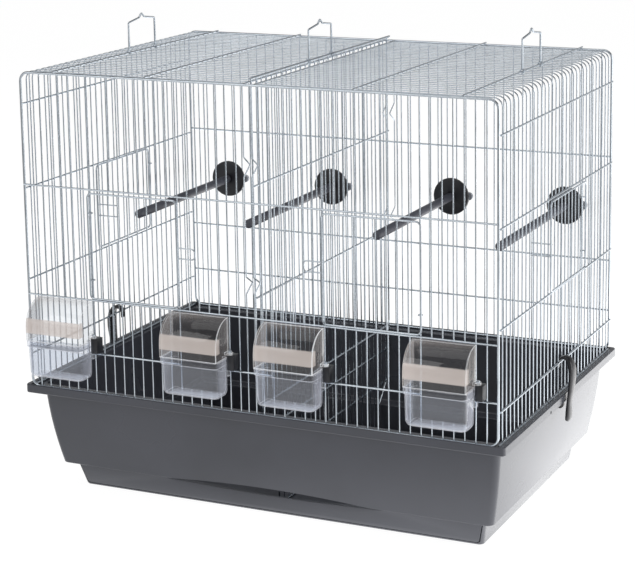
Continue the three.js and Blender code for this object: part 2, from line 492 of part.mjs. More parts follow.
// ---------------------------------------------------------------- feeders on their hinge blocks
// A feeder hangs on the wire at its right, so each right end follows one.
const feederRight = [
  -upright(OUTER[0]) - 0.6, -upright(INNER[0]), upright(INNER[1]) + 0.5, upright(OUTER[1]) + 1.5,
];
feederRight.forEach((right, i) => {
  const n = i + 1, half = FEEDER.wide / 2, mid = right - half, w = FEEDER.wall;
  const y1 = -HALF_D - CROSS_OUT - CROSS - GAP, y0 = y1 - FEEDER.deep, rim = FEEDER.rim;
  // The cup narrows towards its round foot: how far up, and how far in its sides and front are there.
  const cupRows = [[0, 4.5, 7], [2, 2, 3.5], [6, 0.6, 1.5], [rim - FEEDER.low, 0, 0]]
    .map(([up, side, out]) => [FEEDER.low + up, half - side, y0 + out, y1]);
  const rise = [w, 0.8, 0.8, 1];
  const cupIn = cupRows.map(([z, hx, a, b], k) => [z + rise[k], hx - w, a + w, b - w]);
  const flange = [rim - FEEDER.band, rim].map((z) => [z, half + 0.9, y0 - 1.2, y1]);
  let cup = join([loft(cupRows, 6, mid), loft(flange, 6, mid),
    box(right - 1, right + 3, y1 - 6.5, y1 - 2, 177, 183)]).subtract(loft(cupIn, 4.5, mid));
  cup = cup.subtract(box(mid - half + 8, mid + half - 8, y1 - 4, y1 + 2, FEEDER.back, rim + 1));
  add("feeder_cup_" + n, cup, clear);

  const spring = FEEDER.top - FEEDER.deep, edge = rim + GAP; // the canopy's arc starts at spring
  const arcTo = (r, from) => Array.from({ length: 9 }, (_, k) => {
    const a = ((8 - k) / 8) * (Math.PI / 2);
    return [y1 - r * Math.cos(a), from + r * Math.sin(a)];
  });
  const canopy = [...arcTo(FEEDER.deep, spring), [y0, edge], [y1, edge]];
  const under = [
    [y1 + 5, FEEDER.top - w], ...arcTo(FEEDER.deep - w, spring), [y0 + w, edge - 1], [y1 + 5, edge - 1],
  ];
  const pivot = [right + HINGE.out, y1 - 6.6];
  let hood = join([
    plate(canopy, right - FEEDER.wide, right, alongX),
    box(right - 1, pivot[0], pivot[1] - HINGE.reach, pivot[1] + HINGE.reach,
      HINGE.high + GAP, HINGE.high + 3),
    post(...pivot, HINGE.high + GAP, HINGE.high + 3, HINGE.reach),
  ]);
  hood = hood.subtract(plate(under, right - FEEDER.wide + w, right - w, alongX));
  hood = hood.subtract(post(...pivot, HINGE.high - 2, HINGE.high + 6, HINGE.bore));
  add("feeder_hood_" + n, hood, clear);

  const block = join([
    post(...pivot, HINGE.low, HINGE.high, 3.7, 16),
    box(right + 1.5, right + 11, pivot[1], -HALF_D - WIRE - GAP, HINGE.low, HINGE.high),
    box(pivot[0], right + 11, pivot[1] - 3.7, pivot[1] + 1, HINGE.low, HINGE.high),
  ]).subtract(post(...pivot, HINGE.low + 2, HINGE.high + 1, HINGE.bore));
  add("feeder_hinge_block_" + n, block, black);
  const pinLow = HINGE.low + 2 + GAP, headLow = HINGE.high + 3 + GAP, headTop = headLow + 1.3;
  const pin = [
    [0, pinLow], [HINGE.pin, pinLow], [HINGE.pin, headLow], [2.3, headLow], [2.3, headTop], [0, headTop],
  ];
  const turned = new THREE.LatheGeometry(pin.map((p) => new THREE.Vector2(...p)), 12);
  add("feeder_hinge_pin_" + n, solid(turned, [...pivot, 0], [Math.PI / 2, 0, 0]), zinc);
});

// ---------------------------------------------------------------- clips that hook over a side wire
for (const [name, s] of [["left", -1], ["right", 1]]) {
  // Distances out from the corner post, and heights. The hook fits between two uprights.
  const line = [
    [-1, 163], [-1, 170.5], [0.1, 173.2], [2.7, 174.9], [7.1, 175.5], [11.5, 173.6], [14.1, 169],
    [16, 161], [16, 151], [14, 138.5], [10.9, 127.5], [10.9, 122.5], [10.9, 110], [10.2, 101],
  ].map(([out, z]) => [HALF_W + out, z]);
  const band = (from, thick, wide) => {
    const side = (offset) => line.map(([x, z], k) => {
      const [ax, az] = line[Math.max(k - 1, 0)], [bx, bz] = line[Math.min(k + 1, line.length - 1)];
      const l = Math.hypot(bx - ax, bz - az);
      return [(x + ((bz - az) / l) * offset) * s, z - ((bx - ax) / l) * offset];
    }).slice(from);
    const outline = [...side(-thick / 2), ...side(thick / 2).reverse()];
    return plate(s > 0 ? outline : outline.reverse(), -y - wide / 2, -y + wide / 2, alongY);
  };
  const y = (sideUpright(16) + sideUpright(17)) / 2, body = band(5, CLIP.bodyThick, CLIP.bodyWide);
  add("clip_" + name, join([band(0, CLIP.thick, CLIP.wide), body]), black);
  const keeper = [[-3.7, 128.6], [5.6, 128.6], [5.6, 118], [3.5, 116], [-3.7, 116]]
    .map(([out, z]) => [(HALF_W + out) * s, z]);
  const [from, to] = [-y - CLIP.wide / 2, -y + CLIP.wide / 2];
  add("clip_keeper_" + name, plate(s > 0 ? keeper : keeper.reverse(), from, to, alongY), black);
}

export default root;
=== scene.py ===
import json
import math

import bmesh
import bpy
from mathutils import Matrix, Vector

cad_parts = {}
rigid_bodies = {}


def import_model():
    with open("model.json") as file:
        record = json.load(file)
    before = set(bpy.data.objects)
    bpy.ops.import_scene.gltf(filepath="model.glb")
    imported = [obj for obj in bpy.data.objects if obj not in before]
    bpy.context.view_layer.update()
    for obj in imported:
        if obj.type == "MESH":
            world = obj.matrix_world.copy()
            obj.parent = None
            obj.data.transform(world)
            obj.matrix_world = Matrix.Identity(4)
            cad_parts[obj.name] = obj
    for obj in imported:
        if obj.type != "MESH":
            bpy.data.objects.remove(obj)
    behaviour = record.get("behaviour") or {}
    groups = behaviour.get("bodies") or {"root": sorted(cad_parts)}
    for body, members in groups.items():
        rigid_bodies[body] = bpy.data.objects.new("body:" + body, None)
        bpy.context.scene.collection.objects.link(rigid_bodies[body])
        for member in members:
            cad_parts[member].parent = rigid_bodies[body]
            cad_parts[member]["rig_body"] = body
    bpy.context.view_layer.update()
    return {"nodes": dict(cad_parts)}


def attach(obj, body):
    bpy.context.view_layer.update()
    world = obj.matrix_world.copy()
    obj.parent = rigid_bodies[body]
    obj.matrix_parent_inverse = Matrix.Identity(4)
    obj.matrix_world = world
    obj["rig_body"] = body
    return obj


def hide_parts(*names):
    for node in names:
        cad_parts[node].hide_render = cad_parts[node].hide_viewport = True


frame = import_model()
MM = 0.001

# ---------------------------------------------------------------- base shell
# Injection-moulded polystyrene tub: an outward rim with a ledge for the wire, slightly bowed walls,
# a step inward, and a low housing whose front is open for the drawer.


def hex_color(code):
    """An sRGB hex colour as the linear values that a shader takes."""
    parts = [int(code[i : i + 2], 16) / 255 for i in (0, 2, 4)]
    return [c / 12.92 if c <= 0.04045 else ((c + 0.055) / 1.055) ** 2.4 for c in parts] + [1.0]


def add_node(material, kind, links=(), **settings):
    """Adds a shader node, sets its properties or sockets by name, and links (from socket, to socket)."""
    made = material.node_tree.nodes.new(kind)
    for key, value in settings.items():
        if key in dir(made):
            setattr(made, key, value)
        else:
            made.inputs[key].default_value = value
    for source, target in links:
        material.node_tree.links.new(source, made.inputs[target])
    return made


def new_material(name):
    material = bpy.data.materials.new(name)
    material.use_nodes = True
    material.node_tree.nodes.clear()
    return material


def finish_material(material, shader):
    add_node(material, "ShaderNodeOutputMaterial", [(shader.outputs[0], "Surface")])
    return material


def moulded_plastic(name, low, high, roughness, grain_mm, relief, coat=0.0):
    """Moulded plastic: a faint cloud in the colour, an uneven gloss, and the fine peel of a mould."""
    m = new_material(name)
    place = add_node(m, "ShaderNodeTexCoord")
    cloud = add_node(m, "ShaderNodeTexNoise", [(place.outputs["Object"], "Vector")], Scale=9.0, Detail=3.0)
    peel = add_node(
        m, "ShaderNodeTexNoise", [(place.outputs["Object"], "Vector")], Scale=1000 / grain_mm, Detail=2.0
    )
    tone = add_node(m, "ShaderNodeValToRGB", [(cloud.outputs[0], "Fac")])
    tone.color_ramp.elements[0].position, tone.color_ramp.elements[0].color = 0.35, hex_color(low)
    tone.color_ramp.elements[1].position, tone.color_ramp.elements[1].color = 0.65, hex_color(high)
    gloss = add_node(m, "ShaderNodeMapRange", [(cloud.outputs[0], "Value")])
    gloss.inputs["To Min"].default_value, gloss.inputs["To Max"].default_value = roughness
    bump = add_node(m, "ShaderNodeBump", [(peel.outputs[0], "Height")], Strength=relief, Distance=0.0002)
    shader = add_node(
        m,
        "ShaderNodeBsdfPrincipled",
        [(tone.outputs[0], "Base Color"), (gloss.outputs[0], "Roughness"), (bump.outputs[0], "Normal")],
    )
    shader.inputs["IOR"].default_value = 1.5
    shader.inputs["Coat Weight"].default_value = coat
    return finish_material(m, shader)


def only(*objects):
    bpy.ops.object.select_all(action="DESELECT")
    for o in objects:
        o.select_set(True)
    bpy.context.view_layer.objects.active = objects[0]


def stands_for(piece, slot, material, *nodes):
    """The piece is shown in place of one or more CAD nodes of a body, and moves with that body."""
    if material:
        piece.data.materials.clear()
        piece.data.materials.append(material)
        for polygon in piece.data.polygons:
            polygon.material_index = 0
    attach(piece, frame["nodes"][nodes[0]]["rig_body"])
    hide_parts(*nodes)


def place_ring(ring, z, half, front, back, radius):
    """Sets a ring of vertices out as a rounded rectangle; the last value is its corner radius."""
    arc = len(ring) // 4
    for i, vertex in enumerate(ring):
        quarter, step = divmod(i, arc)
        angle = (quarter + step / (arc - 1)) * math.pi / 2
        x = half - radius if quarter in (0, 3) else radius - half
        y = back - radius if quarter in (0, 1) else front + radius
        vertex.co = Vector((x + radius * math.cos(angle), y + radius * math.sin(angle), z)) * MM


def lofted(name, rows, arc=7, place_row=place_ring):
    """A thin-walled moulding: a disc is extruded ring by ring through the rows of its closed profile."""
    bpy.ops.object.select_all(action="DESELECT")
    bpy.ops.mesh.primitive_circle_add(vertices=4 * arc, radius=0.1, fill_type="NGON")
    piece = bpy.context.object
    piece.name = name
    place = piece.data.attributes.new("place", "INT", "POINT")
    for n, value in enumerate(place.data):
        value.value = n
    bpy.ops.object.mode_set(mode="EDIT")
    bpy.ops.mesh.select_all(action="SELECT")
    for k, row in enumerate(rows):
        if k:
            bpy.ops.mesh.extrude_region_move()
        mesh = bmesh.from_edit_mesh(piece.data)
        order = mesh.verts.layers.int["place"]
        place_row(sorted((v for v in mesh.verts if v.select), key=lambda v: v[order]), *row)
        bmesh.update_edit_mesh(piece.data)
    bpy.ops.mesh.select_all(action="SELECT")
    bpy.ops.mesh.normals_make_consistent(inside=False)
    bpy.ops.object.mode_set(mode="OBJECT")
    piece.data.attributes.remove(piece.data.attributes["place"])
    return piece


def cut_away(piece, cutter):
    """Takes a cutter's space out of a piece, as a slide in the mould does."""
    only(piece)
    cut = piece.modifiers.new("cut", "BOOLEAN")
    cut.operation, cut.solver, cut.object = "DIFFERENCE", "EXACT", cutter
    bpy.ops.object.modifier_apply(modifier="cut")
    bpy.data.objects.remove(cutter)


def prism(name, outline, low, high, along="Y"):
    """A flat outline in millimetres, extruded between two distances along an axis."""
    bpy.ops.object.select_all(action="DESELECT")
    bpy.ops.mesh.primitive_circle_add(vertices=len(outline), radius=0.1, fill_type="NGON")
    piece = bpy.context.object
    piece.name = name
    for vertex, (u, v) in zip(piece.data.vertices, outline):
        vertex.co = Vector((u, low, v) if along == "Y" else (low, u, v)) * MM
    bpy.ops.object.mode_set(mode="EDIT")
    bpy.ops.mesh.select_all(action="SELECT")
    away = (0, (high - low) * MM, 0) if along == "Y" else ((high - low) * MM, 0, 0)
    bpy.ops.mesh.extrude_region_move(TRANSFORM_OT_translate={"value": away})
    bpy.ops.mesh.select_all(action="SELECT")
    bpy.ops.mesh.normals_make_consistent(inside=False)
    bpy.ops.object.mode_set(mode="OBJECT")
    return piece


WALL = 2.5
RIM_HALF, RIM_DEEP = 298, 200.8
# Height, half width, front and back of the housing and of the bowed tub.
HOUSING = ((0, 253.5, -147.5, 160), (38, 261.5, -159.5, 158.5))
TUB = ((31.5, 272, -168.5, 175), (75, 280, -177, 181.5), (129, 285.5, -183, 186))


def row_at(rows, z, inset, radius):
    """A row on the smooth curve through the given ones, moved in by the inset."""
    sizes = [0.0, 0.0, 0.0]
    for i, row in enumerate(rows):
        share = math.prod((z - other[0]) / (row[0] - other[0]) for j, other in enumerate(rows) if j != i)
        sizes = [total + share * size for total, size in zip(sizes, row[1:])]
    half, front, back = sizes
    return (z, half - inset, front + inset, back - inset, radius)


def rim_row(z, inset, radius):
    return (z, RIM_HALF - inset, inset - RIM_DEEP, RIM_DEEP - inset, radius)


# The closed profile: from the underside up the outside, over the rim with its ledge, and down the inside.
shell_rows = [row_at(HOUSING, 0, inset, radius) for inset, radius in ((3, 4), (1.2, 5))]
shell_rows += [row_at(HOUSING, 0.4, 0.4, 6), row_at(HOUSING, 1.5, 0, 6), row_at(HOUSING, 34.7, 0, 6)]
shell_rows += [row_at(HOUSING, 35.5, -0.5, 6)]
shell_rows += [row_at(TUB, z, inset, 5.5) for z, inset in ((35.5, 3.3), (35.1, 2.5), (32.1, 2.5))]
shell_rows += [row_at(TUB, 31.5, inset, radius) for inset, radius in ((1.9, 6), (0.8, 7))]
shell_rows += [row_at(TUB, z, 0, 8) for z in (32.2, 45, 60, 75, 90, 105, 118, 128.2)]
shell_rows += [row_at(TUB, 128.9, -0.8, 8), rim_row(128.9, 3.3, 2.2), rim_row(128.3, 2.5, 2.5)]
shell_rows += [rim_row(125.1, 2.4, 2.5), rim_row(124.5, 1.8, 3)]
shell_rows += [rim_row(124.5, 0.7, 4.3), rim_row(125.2, 0, 5)]
shell_rows += [rim_row(133.7, 0, 5), rim_row(134.5, 0.8, 4.3)]
for z, x, y, radius in ((134.5, 292.2, 199.1, 2), (134, 291.5, 198.4, 1.2), (131.7, 291.5, 198.4, 1.2)):
    shell_rows.append((z, x, -y, y, radius))
shell_rows += [(131.4, 291.2, -198.1, 198.1, 1.2), row_at(TUB, 131.4, 1.7, 6)]
shell_rows += [row_at(TUB, z, WALL, 5.5) for z in (130.6, 118, 105, 90, 75, 60, 50, 39.6)]
shell_rows += [row_at(TUB, 38.5, 3.6, 5), row_at(HOUSING, 38.5, 1.6, 4), row_at(HOUSING, 37.7, WALL, 3.5)]
shell_rows += [row_at(HOUSING, 4, WALL, 3.5), row_at(HOUSING, 2.5, WALL + 1.5, 3)]
shell = lofted("base_tub", shell_rows)
SLOT_TOP, SLOT_ROUND = 30, 5
half_low, half_top = row_at(HOUSING, WALL, WALL, 0)[1], row_at(HOUSING, SLOT_TOP, WALL, 0)[1]
slot_half = []
for k in range(7):
    turned = k / 6 * math.pi / 2
    at = (half_low - SLOT_ROUND * (1 - math.sin(turned)), WALL + SLOT_ROUND * (1 - math.cos(turned)))
    slot_half.append(at)
slot_half.append((half_top, SLOT_TOP))
cut_away(shell, prism("slot", slot_half + [(-x, z) for x, z in reversed(slot_half)], -180, -125))
ARCH_HALF, ARCH_RISE = 145, 7.2
arch_radius = (ARCH_HALF**2 + ARCH_RISE**2) / (2 * ARCH_RISE)
arch = [(-ARCH_HALF, 25), (ARCH_HALF, 25)]
for k in range(33):
    x = ARCH_HALF * (1 - k / 16)
    arch.append((x, SLOT_TOP + ARCH_RISE - arch_radius + math.sqrt(arch_radius**2 - x**2)))
cut_away(shell, prism("arch", arch, -180, -150))
# A small round hole in the right side of the rim, in metres.
RIM_HOLE = (0.2955, -0.049, 0.1272)
bpy.ops.object.select_all(action="DESELECT")
bpy.ops.mesh.primitive_cylinder_add(
    vertices=24, radius=1.8 * MM, depth=7 * MM, location=RIM_HOLE, rotation=(0, math.pi / 2, 0)
)
cut_away(shell, bpy.context.object)
only(shell)
bpy.ops.object.shade_smooth_by_angle(angle=math.radians(32))
# Polished mould: a smooth, slightly waxy gloss with a trace of peel.
base_grey = moulded_plastic("polystyrene_dark_grey", "46484f", "4b4d55", (0.22, 0.3), 1.6, 0.05)
stands_for(shell, "base_plastic", base_grey, "base_shell")

# ---------------------------------------------------------------- drawer
# The litter tray is moulded in the same grey plastic. Its front lies flush with the housing and has a wide
# scoop that fingers pull on. Here its top edge also dips under the arch, where the solid's is straight.


def round_edges(piece, edge, angle=24, segments=2, edge_slot=-1):
    """Rounds the sharp edges of a moulding; the rounded faces can take a material slot of their own."""
    only(piece)
    bevel = piece.modifiers.new("edge", "BEVEL")
    bevel.width, bevel.segments, bevel.limit_method = edge * MM, segments, "ANGLE"
    bevel.angle_limit = math.radians(angle)
    bevel.use_clamp_overlap = True
    bevel.material = edge_slot
    bpy.ops.object.modifier_apply(modifier="edge")
    bpy.ops.object.shade_smooth_by_angle(angle=math.radians(35))


def moulded(node, name, edge, angle=24, segments=2, looks=()):
    """A copy of a CAD solid, merged, its flat faces made whole, and its edges rounded."""
    source = frame["nodes"][node]
    piece = source.copy()
    piece.data = source.data.copy()
    piece.name = name
    for key in list(piece.keys()):
        del piece[key]
    bpy.context.scene.collection.objects.link(piece)
    piece.parent = None
    only(piece)
    bpy.ops.object.mode_set(mode="EDIT")
    bpy.ops.mesh.select_all(action="SELECT")
    bpy.ops.mesh.remove_doubles(threshold=2e-6)
    bpy.ops.mesh.dissolve_limited(angle_limit=math.radians(0.1))
    bpy.ops.object.mode_set(mode="OBJECT")
    if looks:
        piece.data.materials.clear()
        for look in looks:
            piece.data.materials.append(look)
    round_edges(piece, edge, angle, segments, 1 if looks else -1)
    return piece


tray = moulded("tray_front", "litter_drawer", 0.5)
DIP_HALF, DIP_DEEP, FRONT_TOP = 160, 8.5, 28.6
dip = [(DIP_HALF * (1 - k / 29), FRONT_TOP - DIP_DEEP * (1 - (1 - k / 29) ** 2)) for k in range(59)]
cut_away(tray, prism("dip", [(-DIP_HALF, 40), (DIP_HALF, 40), *dip], -165, -140))
TRAY_LOW, TRAY_FLOOR, TRAY_FRONT, TRAY_BACK = 2.9, 5, -147, 153.5
flat = [(-246, TRAY_LOW), (246, TRAY_LOW), (247, TRAY_FLOOR), (-247, TRAY_FLOOR)]
tray_parts = [tray, prism("tray_floor", flat, TRAY_FRONT, TRAY_BACK)]
for s in (-1, 1):
    wall = [(245.5 * s, TRAY_LOW), (247.7 * s, 3.2), (249.2 * s, 4.2), (250.4 * s, 6.5)]
    wall += [(254.9 * s, 24), (252.9 * s, 24), (246 * s, TRAY_FLOOR)]
    tray_parts.append(prism("tray_wall", wall, TRAY_FRONT, TRAY_BACK))
    lip = [(4 * s, 4), (247 * s, 4), (247.5 * s, 8), (4 * s, 8)]
    tray_parts.append(prism("tray_lip", lip, 151.5, 153.4))
for part in tray_parts[1:]:
    round_edges(part, 0.4)
only(*tray_parts)
bpy.ops.object.join()
tray_nodes = ["tray_front", "tray_floor"]
tray_nodes += ["tray_side_left", "tray_side_right", "tray_lip_left", "tray_lip_right"]
stands_for(tray, "base_plastic", base_grey, *tray_nodes)

# ---------------------------------------------------------------- side clips
# Black nylon levers that hook over the lowest side wire, bow out past the rim and end in a rounded paddle.
# A keeper under the rim takes their pull.
black_nylon = moulded_plastic("nylon_black", "1b1b20", "26262b", (0.28, 0.4), 0.8, 0.2)
# The corner post's distance from the middle, and the levers' place between two side uprights.
POST, CLIP_Y = 289.5, 6.15


def place_section(ring, out, z, lean, thick, wide, side):
    """Sets a ring out across a lever: an oval, thick along the lean and wide along Y."""
    across = Vector((math.cos(lean) * side, 0, math.sin(lean)))
    for i, vertex in enumerate(ring):
        angle = 2 * math.pi * i / len(ring)
        u, v = math.cos(angle), math.sin(angle)
        square = (abs(u) ** 3 + abs(v) ** 3) ** (1 / 3)
        centre = Vector(((POST + out) * side, CLIP_Y, z))
        vertex.co = (centre + across * thick / 2 * u / square + Vector((0, wide / 2 * v / square, 0))) * MM


# Distance out from the corner post, height, thickness and width along the lever, from the hook's end down.
lever = [
    (-1, 163, 1.0, 6), (-1, 163.8, 1.6, 8.6), (-1, 167, 1.9, 9.4), (-1, 170.5, 1.9, 9.5),
    (0.1, 173.4, 2.0, 9.5), (2.7, 175.4, 2.9, 9.6), (7.1, 176, 4.6, 10.5), (11.2, 174, 5.4, 13),
    (14.0, 169, 6.0, 16), (15.2, 161, 6.4, 18), (15.2, 151, 6.0, 18), (14.2, 138.5, 5.2, 16),
    (12.6, 129, 4.6, 13.5), (11.7, 122, 4.6, 13), (11.5, 116, 5.0, 15), (11.4, 109, 5.4, 17),
    (11.2, 105, 5.4, 17), (11.1, 102.5, 4.4, 14), (11, 101.3, 2.4, 8),
]
for side, name in ((-1, "left"), (1, "right")):
    rows = []
    for k, (out, z, thick, wide) in enumerate(lever):
        (x0, z0, *_), (x1, z1, *_) = lever[max(k - 1, 0)], lever[min(k + 1, len(lever) - 1)]
        rows.append((out, z, math.atan2(x1 - x0, z0 - z1), thick, wide, side))
    clip = lofted("lever_clip_" + name, rows, 5, place_section)
    only(clip)
    bpy.ops.object.shade_smooth_by_angle(angle=math.radians(60))
    stands_for(clip, "black_plastic", black_nylon, "clip_" + name)
    keeper = moulded("clip_keeper_" + name, "clip_rest_" + name, 0.5)
    stands_for(keeper, "black_plastic", black_nylon, "clip_keeper_" + name)

# ---------------------------------------------------------------- front and back panels
# Bright zinc-plated steel wire: thin uprights welded to thicker cross wires and a heavy frame with round
# corners. The middle pair of uprights is kinked inward to guide the divider.
HALF_W, HALF_D = 289.5, 196.8
WIRE_LOW, ROOF = 133, 503.4
THIN, CROSS, FRAME = 0.8, 1.1, 1.5
CROSS_OUT = 1.8
H4, H3, H2 = 181.4, 244.3, 373.5


def bent(points, radius, steps=5):
    """The points of a wire with each inner corner bent to a radius, all in millimetres."""
    v = [Vector(p) for p in points]
    out = [v[0]]
    for before, here, after in zip(v, v[1:], v[2:]):
        a, b = (before - here).normalized(), (after - here).normalized()
        half = a.angle(b) / 2
        centre = here + (a + b).normalized() * radius / math.sin(half)
        start = here + a * radius / math.tan(half) - centre
        end = here + b * radius / math.tan(half) - centre
        turn = math.pi - 2 * half
        for k in range(steps + 1):
            t = k / steps
            first, second = math.sin((1 - t) * turn), math.sin(t * turn)
            out.append(centre + start * first / math.sin(turn) + end * second / math.sin(turn))
    return out + [v[-1]]


def wires(name, runs):
    """Round wire bent to runs of (radius, points, closed), joined as one welded grille."""
    made = []
    for radius in sorted({run[0] for run in runs}):
        curve = bpy.data.curves.new(name, "CURVE")
        curve.dimensions, curve.bevel_depth, curve.bevel_resolution = "3D", radius * MM, 2
        curve.use_fill_caps = True
        for _, points, closed in (run for run in runs if run[0] == radius):
            line = curve.splines.new("POLY")
            line.points.add(len(points) - 1)
            for point, at in zip(line.points, points):
                point.co = (*(c * MM for c in at), 1)
            line.use_cyclic_u = closed
        made.append(bpy.data.objects.new(name, curve))
        bpy.context.scene.collection.objects.link(made[-1])
    only(*made)
    bpy.ops.object.convert(target="MESH")
    if len(made) > 1:
        bpy.ops.object.join()
    piece = bpy.context.object
    piece.name = name
    bpy.ops.object.shade_smooth_by_angle(angle=math.radians(60))
    return piece


def bright_wire(name, low, high, roughness):
    """Drawn steel wire with bright zinc: metal whose gloss varies a little along its length."""
    m = new_material(name)
    place = add_node(m, "ShaderNodeTexCoord")
    drift = add_node(m, "ShaderNodeTexNoise", [(place.outputs["Object"], "Vector")], Scale=60.0, Detail=2.0)
    draw = add_node(m, "ShaderNodeTexNoise", [(place.outputs["Object"], "Vector")], Scale=1500.0, Detail=1.0)
    tone = add_node(m, "ShaderNodeValToRGB", [(drift.outputs[0], "Fac")])
    tone.color_ramp.elements[0].position, tone.color_ramp.elements[0].color = 0.3, hex_color(low)
    tone.color_ramp.elements[1].position, tone.color_ramp.elements[1].color = 0.7, hex_color(high)
    gloss = add_node(m, "ShaderNodeMapRange", [(drift.outputs[0], "Value")])
    gloss.inputs["To Min"].default_value, gloss.inputs["To Max"].default_value = roughness
    bump = add_node(m, "ShaderNodeBump", [(draw.outputs[0], "Height")], Strength=0.1, Distance=0.0001)
    shader = add_node(
        m,
        "ShaderNodeBsdfPrincipled",
        [(tone.outputs[0], "Base Color"), (gloss.outputs[0], "Roughness"), (bump.outputs[0], "Normal")],
        Metallic=1.0,
    )
    return finish_material(m, shader)


zinc = bright_wire("zinc_plated_wire", "bfc7cf", "d2d9e0", (0.14, 0.28))


def upright(k):
    return 14.5 + 12.5 * k


def panel_runs(on, cut_for):
    corners = [on(0, WIRE_LOW), on(HALF_W, WIRE_LOW), on(HALF_W, ROOF)]
    corners += [on(-HALF_W, ROOF), on(-HALF_W, WIRE_LOW)]
    runs = [(FRAME, bent([*corners, on(0, WIRE_LOW)], 10)[:-1], True)]
    for s in (-1, 1):
        x = 4.8 * s
        kinks = [on(x, 271), on(x, 280.5, -15), on(x, 290), on(x, 402), on(x, 413, -15), on(x, 424)]
        runs.append((THIN, bent([on(x, WIRE_LOW), *kinks, on(x, ROOF)], 1.0, 2), False))
        for k in range(22):
            for low, high in cut_for(k):
                runs.append((THIN, [on(upright(k) * s, low), on(upright(k) * s, high)], False))
    return runs


def cross_run(on, u0, u1, z):
    return (CROSS, [on(u0, z, CROSS_OUT), on(u1, z, CROSS_OUT)], False)


def on_front(u, z, n=0.0):
    return (u, -HALF_D - n, z)


def on_back(u, z, n=0.0):
    return (u, HALF_D + n, z)


def front_cuts(k):
    if 1 < k < 6 or 15 < k < 20:
        return [(WIRE_LOW, 153), (H3, ROOF)]
    if 6 < k < 15:
        return [(WIRE_LOW, H3), (H2, ROOF)]
    return [(WIRE_LOW, ROOF)]


front = panel_runs(on_front, front_cuts)
front += [cross_run(on_front, -HALF_W, HALF_W, z) for z in (H3, H2)]
for u0, u1 in ((-HALF_W, -upright(20)), (-upright(15), -upright(6)), (-upright(1), upright(1))):
    front.append(cross_run(on_front, u0, u1, H4))
    if u1 < 0:
        front.append(cross_run(on_front, -u1, -u0, H4))
stands_for(wires("front_grille", front), "zinc_wire", zinc, "front_panel")
back = panel_runs(on_back, lambda k: [(WIRE_LOW, ROOF)])
back += [cross_run(on_back, -HALF_W, HALF_W, z) for z in (H4, H3, H2)]
stands_for(wires("back_grille", back), "zinc_wire", zinc, "back_panel")

# ---------------------------------------------------------------- sides and roof
# The side uprights bend over at the top and run on as the roof. Cross wires lie outside them, and the two
# roof halves stop at a pair of wires that leaves a slot for the divider.
END_Y = HALF_D - FRAME - 0.3
ROOF_SPLIT = HALF_W - 10.6
ROOF_CROSS = ROOF + 2.3


def side_upright(j):
    return -HALF_D + 12.3 * j


def on_left(u, z, n=0.0):
    return (-HALF_W - n, u, z)


def on_right(u, z, n=0.0):
    return (HALF_W + n, u, z)


S4, S3, S2, S1 = 170.7, 259.9, 367.7, 466.2
for name, s, on, overhang in (("left", -1, on_left, 1), ("right", 1, on_right, 4)):
    side = [(FRAME, [on(-END_Y, WIRE_LOW), on(END_Y, WIRE_LOW)], False)]
    side += [cross_run(on, -END_Y, END_Y, z) for z in (S4, S3, S2, S1)]
    top = [(CROSS, [(7 * s, -END_Y, ROOF), (7 * s, END_Y, ROOF)], False)]
    for j in range(1, 32):
        y = side_upright(j)
        over = [(HALF_W * s, y, ROOF), (ROOF_SPLIT * s, y, ROOF)]
        if 13 < j < 23:
            side.append((THIN, [on(y, WIRE_LOW), on(y, S3)], False))
            side.append((THIN, bent([on(y, S2), *over], 9.9), False))
        else:
            side.append((THIN, bent([on(y, WIRE_LOW), *over], 9.9), False))
        top.append((THIN, [(7 * s, y, ROOF), (ROOF_SPLIT * s, y, ROOF)], False))
    for x in ((126, 246) if s < 0 else (127, 251)):
        ends = [(x * s, -HALF_D - 1, ROOF_CROSS), (x * s, HALF_D + overhang, ROOF_CROSS)]
        top.append((CROSS, ends, False))
    stands_for(wires("side_grille_" + name, side), "zinc_wire", zinc, name + "_side_mesh")
    stands_for(wires("roof_grille_" + name, top), "zinc_wire", zinc, f"roof_{name}_mesh")

# ---------------------------------------------------------------- divider
# A loose grille of the same wire drops through the roof slot and stands on the drawer's floor. Its edge
# wire steps in where the tub narrows, and a heavy rail stays above the roof.
RAIL, FLOOR_WIRE = 509, 6.4
front_edge = [(-185, 150), (-175, 133), (-173, 120), (-165, 62), (-136, 32), (-136, FLOOR_WIRE)]
back_edge = [(185, 143), (181, 131), (179.5, 120), (174, 65), (152, 41), (148, FLOOR_WIRE)]


def crossing(edge, z):
    """How far out the edge wire is at a height."""
    if z >= edge[0][1]:
        return edge[0][0]
    for (y1, z1), (y2, z2) in zip(edge, edge[1:]):
        if z2 <= z <= z1:
            return y1 + (y2 - y1) * (z - z1) / (z2 - z1)


def foot_of(y):
    """The height where an upright meets the edge wire."""
    edge = front_edge if y < 0 else back_edge
    for (y1, z1), (y2, z2) in zip(edge, edge[1:]):
        if abs(y2) <= abs(y) <= abs(y1) and y1 != y2:
            return z1 + (z2 - z1) * (y - y1) / (y2 - y1)
    return FLOOR_WIRE


outline = [(0, -185, RAIL), *((0, y, z) for y, z in front_edge)]
outline += [*((0, y, z) for y, z in reversed(back_edge)), (0, 185, RAIL)]
grille = [(FRAME, [(0, -186, RAIL), (0, 193.5, RAIL)], False), (CROSS, bent(outline, 4), False)]
for i in range(1, 30):
    y = -185 + 370 / 30 * i
    grille.append((THIN, [(0, y, foot_of(y)), (0, y, RAIL)], False))
for z in (66, 108, 138, 264, 390):
    grille.append((CROSS, [(1.8, crossing(front_edge, z), z), (1.8, crossing(back_edge, z), z)], False))
stands_for(wires("divider_wires", grille), "zinc_wire", zinc, "divider_grille")

# ---------------------------------------------------------------- handles
# Three bails of stiff wire, bent to a house shape, whose ends curl round a roof wire or the divider's rail.


